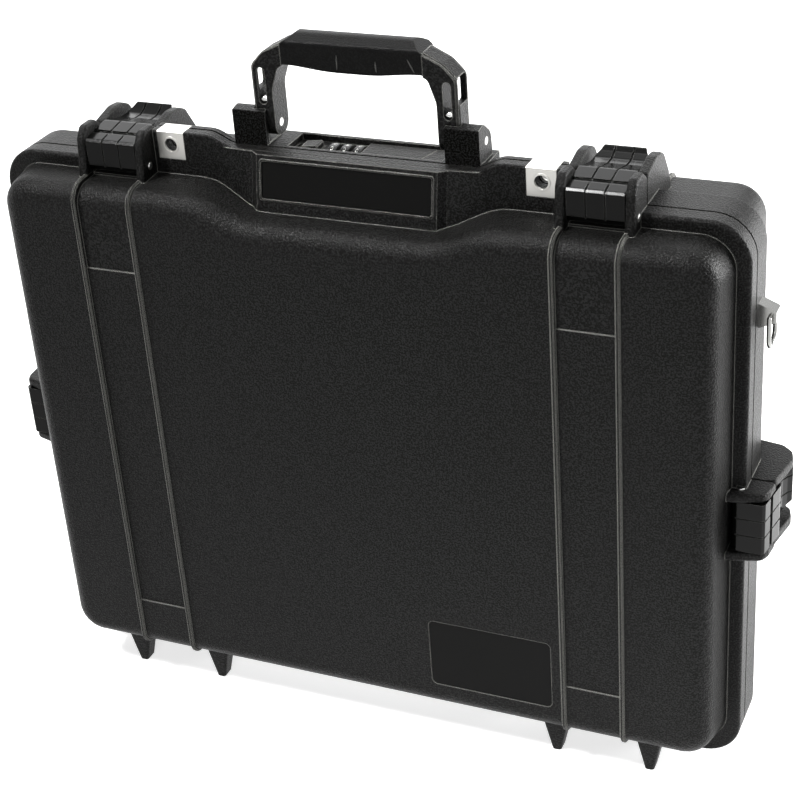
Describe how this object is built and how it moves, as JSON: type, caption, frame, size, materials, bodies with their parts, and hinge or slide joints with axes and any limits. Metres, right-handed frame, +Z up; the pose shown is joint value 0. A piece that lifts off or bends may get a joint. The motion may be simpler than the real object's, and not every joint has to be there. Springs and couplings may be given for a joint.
{
  "type": "laptop hard case",
  "caption": "Moulded hard case for a laptop with pinned lid, lever latches, folding handle, number lock, padlock plates, strap rings and foam.",
  "frame": {"origin": "on the ground under the standing case, midway between its sides and between its front and back ribs", "axes": "+X along the case to the right as seen from the lid, +Y from the lid to the back of the base, +Z up towards the handle"},
  "size_m": [0.5482, 0.1254, 0.4884],
  "materials": {
    "shell_polymer": "grained black moulding",
    "latch_polymer": "satin black moulding",
    "pin_steel": "plain drawn steel",
    "latch_steel": "pressed steel",
    "plate_steel": "stainless, folded",
    "ring_steel": "polished stainless",
    "dial_polymer": "black with plain numbers",
    "grip_rubber": "matt overmould",
    "seal_rubber": "soft seal",
    "foam": "charcoal closed-cell foam",
    "blank_plate": "blank satin plate",
    "valve_polymer": "black valve"
  },
  "bodies": {
    "base": {"base_foam": "foam", "base_shell": "shell_polymer", "dial_shaft": "pin_steel", "handle_pin_left": "pin_steel", "handle_pin_right": "pin_steel", "hinge_pin_left": "pin_steel", "hinge_pin_right": "pin_steel", "lock_body": "shell_polymer", "padlock_plate_base_left": "plate_steel", "padlock_plate_base_right": "plate_steel", "ring_bracket_left": "ring_steel", "ring_bracket_right": "ring_steel", "valve_body": "valve_polymer", "valve_nut": "valve_polymer", "valve_seal": "seal_rubber"},
    "lid": {"label_plate": "blank_plate", "latch_pin_side_left": "pin_steel", "latch_pin_side_right": "pin_steel", "latch_pin_top_left": "pin_steel", "latch_pin_top_right": "pin_steel", "lid_foam": "foam", "lid_seal": "seal_rubber", "lid_shell": "shell_polymer", "lock_hasp": "latch_steel", "name_plate": "blank_plate", "padlock_plate_lid_left": "plate_steel", "padlock_plate_lid_right": "plate_steel"},
    "handle": {"handle_frame": "shell_polymer", "handle_grip": "grip_rubber"},
    "lock_slider": {"lock_slider": "shell_polymer", "lock_bolt": "pin_steel"},
    "latch_side_left": {"claw_pin_side_left": "pin_steel", "lever_side_left": "latch_polymer"},
    "latch_side_right": {"claw_pin_side_right": "pin_steel", "lever_side_right": "latch_polymer"},
    "latch_top_left": {"claw_pin_top_left": "pin_steel", "lever_top_left": "latch_polymer"},
    "latch_top_right": {"claw_pin_top_right": "pin_steel", "lever_top_right": "latch_polymer"},
    "hook_side_left": {"claw_side_left": "latch_steel"},
    "hook_side_right": {"claw_side_right": "latch_steel"},
    "hook_top_left": {"claw_top_left": "latch_steel"},
    "hook_top_right": {"claw_top_right": "latch_steel"},
    "dial_1": {"lock_dial_1": "dial_polymer"},
    "dial_2": {"lock_dial_2": "dial_polymer"},
    "dial_3": {"lock_dial_3": "dial_polymer"},
    "ring_left": {"strap_ring_left": "ring_steel"},
    "ring_right": {"strap_ring_right": "ring_steel"}
  },
  "joints": [
    {"name": "lid_hinge", "type": "hinge", "parent": "base", "child": "lid", "pos_m": [0, -0.017, 0.0063], "axis": [1, 0, 0], "range_deg": [0, 115]},
    {"name": "latch_top_left", "type": "hinge", "parent": "lid", "child": "latch_top_left", "pos_m": [-0.16365, -0.0335, 0.4015], "axis": [1, 0, 0], "range_deg": [0, 90]},
    {"name": "hook_top_left", "type": "hinge", "parent": "latch_top_left", "child": "hook_top_left", "pos_m": [-0.16365, -0.0155, 0.4138], "axis": [1, 0, 0], "range_deg": [-18, 0]},
    {"name": "latch_top_right", "type": "hinge", "parent": "lid", "child": "latch_top_right", "pos_m": [0.16365, -0.0335, 0.4015], "axis": [1, 0, 0], "range_deg": [0, 90]},
    {"name": "hook_top_right", "type": "hinge", "parent": "latch_top_right", "child": "hook_top_right", "pos_m": [0.16365, -0.0155, 0.4138], "axis": [1, 0, 0], "range_deg": [-18, 0]},
    {"name": "latch_side_left", "type": "hinge", "parent": "lid", "child": "latch_side_left", "pos_m": [-0.2515, -0.0295, 0.2], "axis": [0, 0, 1], "range_deg": [0, 90]},
    {"name": "hook_side_left", "type": "hinge", "parent": "latch_side_left", "child": "hook_side_left", "pos_m": [-0.2638, -0.0115, 0.2], "axis": [0, 0, 1], "range_deg": [-18, 0]},
    {"name": "latch_side_right", "type": "hinge", "parent": "lid", "child": "latch_side_right", "pos_m": [0.2515, -0.0295, 0.2], "axis": [0, 0, -1], "range_deg": [0, 90]},
    {"name": "hook_side_right", "type": "hinge", "parent": "latch_side_right", "child": "hook_side_right", "pos_m": [0.2638, -0.0115, 0.2], "axis": [0, 0, -1], "range_deg": [-18, 0]},
    {"name": "handle_fold", "type": "hinge", "parent": "base", "child": "handle", "pos_m": [0, -0.004, 0.428], "axis": [-1, 0, 0], "range_deg": [0, 90]},
    {"name": "lock_slide", "type": "slide", "parent": "base", "child": "lock_slider", "axis": [-1, 0, 0], "range_m": [0, 0.005]},
    {"name": "dial_1_turn", "type": "hinge", "parent": "base", "child": "dial_1", "pos_m": [-0.0205, -0.0025, 0.4062], "axis": [1, 0, 0], "continuous": true},
    {"name": "dial_2_turn", "type": "hinge", "parent": "base", "child": "dial_2", "pos_m": [-0.0118, -0.0025, 0.4062], "axis": [1, 0, 0], "continuous": true},
    {"name": "dial_3_turn", "type": "hinge", "parent": "base", "child": "dial_3", "pos_m": [-0.0031, -0.0025, 0.4062], "axis": [1, 0, 0], "continuous": true},
    {"name": "ring_left_swing", "type": "hinge", "parent": "base", "child": "ring_left", "pos_m": [-0.262, -0.005, 0.335], "axis": [0, 1, 0], "range_deg": [-9, 160]},
    {"name": "ring_right_swing", "type": "hinge", "parent": "base", "child": "ring_right", "pos_m": [0.262, -0.005, 0.335], "axis": [0, -1, 0], "range_deg": [-9, 160]}
  ],
  "couplings": [
    {"joint": "hook_top_left", "follows": "latch_top_left", "ratio": -0.2},
    {"joint": "hook_top_right", "follows": "latch_top_right", "ratio": -0.2},
    {"joint": "hook_side_left", "follows": "latch_side_left", "ratio": -0.2},
    {"joint": "hook_side_right", "follows": "latch_side_right", "ratio": -0.2}
  ]
}
